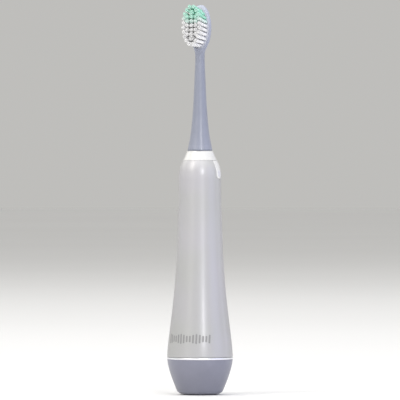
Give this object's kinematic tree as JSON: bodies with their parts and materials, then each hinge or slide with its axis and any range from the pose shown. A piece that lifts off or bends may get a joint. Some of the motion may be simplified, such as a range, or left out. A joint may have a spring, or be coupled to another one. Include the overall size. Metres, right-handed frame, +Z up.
{
  "type": "electric toothbrush on charger",
  "caption": "Upright sonic toothbrush with a flared grip, side power button and pull-off bristle head, standing on its compact tapered inductive charger",
  "frame": {"origin": "centre of the charger's foot, on the surface that it stands on", "axes": "+Z up along the handle, the drive shaft and the brush neck; the bristles face -Y; the power button is on +X; the charger's power inlet is on +Y"},
  "size_m": [0.0406, 0.0406, 0.24],
  "materials": {
    "pearl_casing": "pearlescent silver, satin gloss",
    "white_plastic": "glossy white",
    "frosted_slate": "frosted translucent grey-blue",
    "frosted_mist": "frosted translucent grey-lavender",
    "nylon_white": "white nylon filaments",
    "nylon_green": "mint green nylon filaments",
    "rubber": "matt",
    "natural_plastic": "natural, unpainted",
    "chrome": "polished plating",
    "steel": "satin",
    "core_iron": "matt grey",
    "copper_wire": "enamelled copper, counted as brass",
    "brass": "plain",
    "ferrite": "dark grey ceramic, counted as cast iron",
    "laminate": "green circuit board",
    "chip_black": "moulded black",
    "cell_sleeve": "blue sleeve over a cell as dense as aluminium"
  },
  "bodies": {
    "charger": {"charger_foot": "rubber", "charger_bottom_plate": "frosted_slate", "charger_bowl": "frosted_slate", "charger_trim_ring": "chrome", "charger_top_cover": "frosted_slate", "charger_weight": "steel", "charger_board": "laminate", "charger_driver_chip": "chip_black", "charger_capacitor": "chip_black", "charger_ferrite_core": "ferrite", "charger_transmit_coil": "copper_wire", "charger_inlet_shell": "steel", "charger_inlet_tongue": "chip_black", "charger_screw_1": "steel", "charger_screw_2": "steel", "charger_screw_3": "steel"},
    "handle": {"handle_shell": "pearl_casing", "handle_collar": "white_plastic", "shaft_seal": "rubber", "handle_base_cap": "white_plastic", "base_cap_seal": "rubber", "receive_coil": "copper_wire", "coil_lead_1": "copper_wire", "coil_lead_2": "copper_wire", "chassis": "natural_plastic", "cell_retainer": "natural_plastic", "battery_cell": "cell_sleeve", "cell_tab_negative": "steel", "cell_tab_positive": "steel", "main_board": "laminate", "controller_chip": "chip_black", "charging_chip": "chip_black", "power_inductor": "ferrite", "indicator_led": "nylon_white", "switch_body": "steel", "motor_terminal_1": "brass", "motor_terminal_2": "brass", "motor_can": "steel", "motor_rear_plate": "natural_plastic", "motor_front_plate": "steel", "front_bushing": "brass", "stator_core": "core_iron", "stator_coil": "copper_wire", "return_spring": "steel"},
    "button": {"power_button": "white_plastic"},
    "plunger": {"switch_plunger": "chip_black"},
    "rotor": {"drive_shaft": "steel", "rotor_cup": "steel", "rotor_magnet_1": "core_iron", "rotor_magnet_2": "core_iron", "rotor_magnet_3": "core_iron", "rotor_magnet_4": "core_iron"},
    "brush_head": {"brush_neck": "frosted_mist", "neck_coupling": "steel", "bristle_carrier": "frosted_mist", "bristles_white": "nylon_white", "bristles_green": "nylon_green"}
  },
  "joints": [
    {"name": "handle_lift", "type": "slide", "parent": "charger", "child": "handle", "axis": [0, 0, 1], "range_m": [0, 0.045]},
    {"name": "shaft_sweep", "type": "hinge", "parent": "handle", "child": "rotor", "pos_m": [0, 0, 0.12], "axis": [0, 0, 1], "range_deg": [-5, 5], "stiffness_Nm_per_rad": 0.1},
    {"name": "head_pull", "type": "slide", "parent": "rotor", "child": "brush_head", "axis": [0, 0, 1], "range_m": [0, 0.035]},
    {"name": "button_press", "type": "slide", "parent": "handle", "child": "button", "axis": [-1, 0, 0], "range_m": [0, 0.0005], "stiffness_N_per_m": 1500, "springref_m": -0.0002},
    {"name": "plunger_press", "type": "slide", "parent": "handle", "child": "plunger", "axis": [-1, 0, 0], "range_m": [0, 0.0005]}
  ],
  "couplings": [
    {"joint": "plunger_press", "follows": "button_press", "ratio": 1}
  ]
}
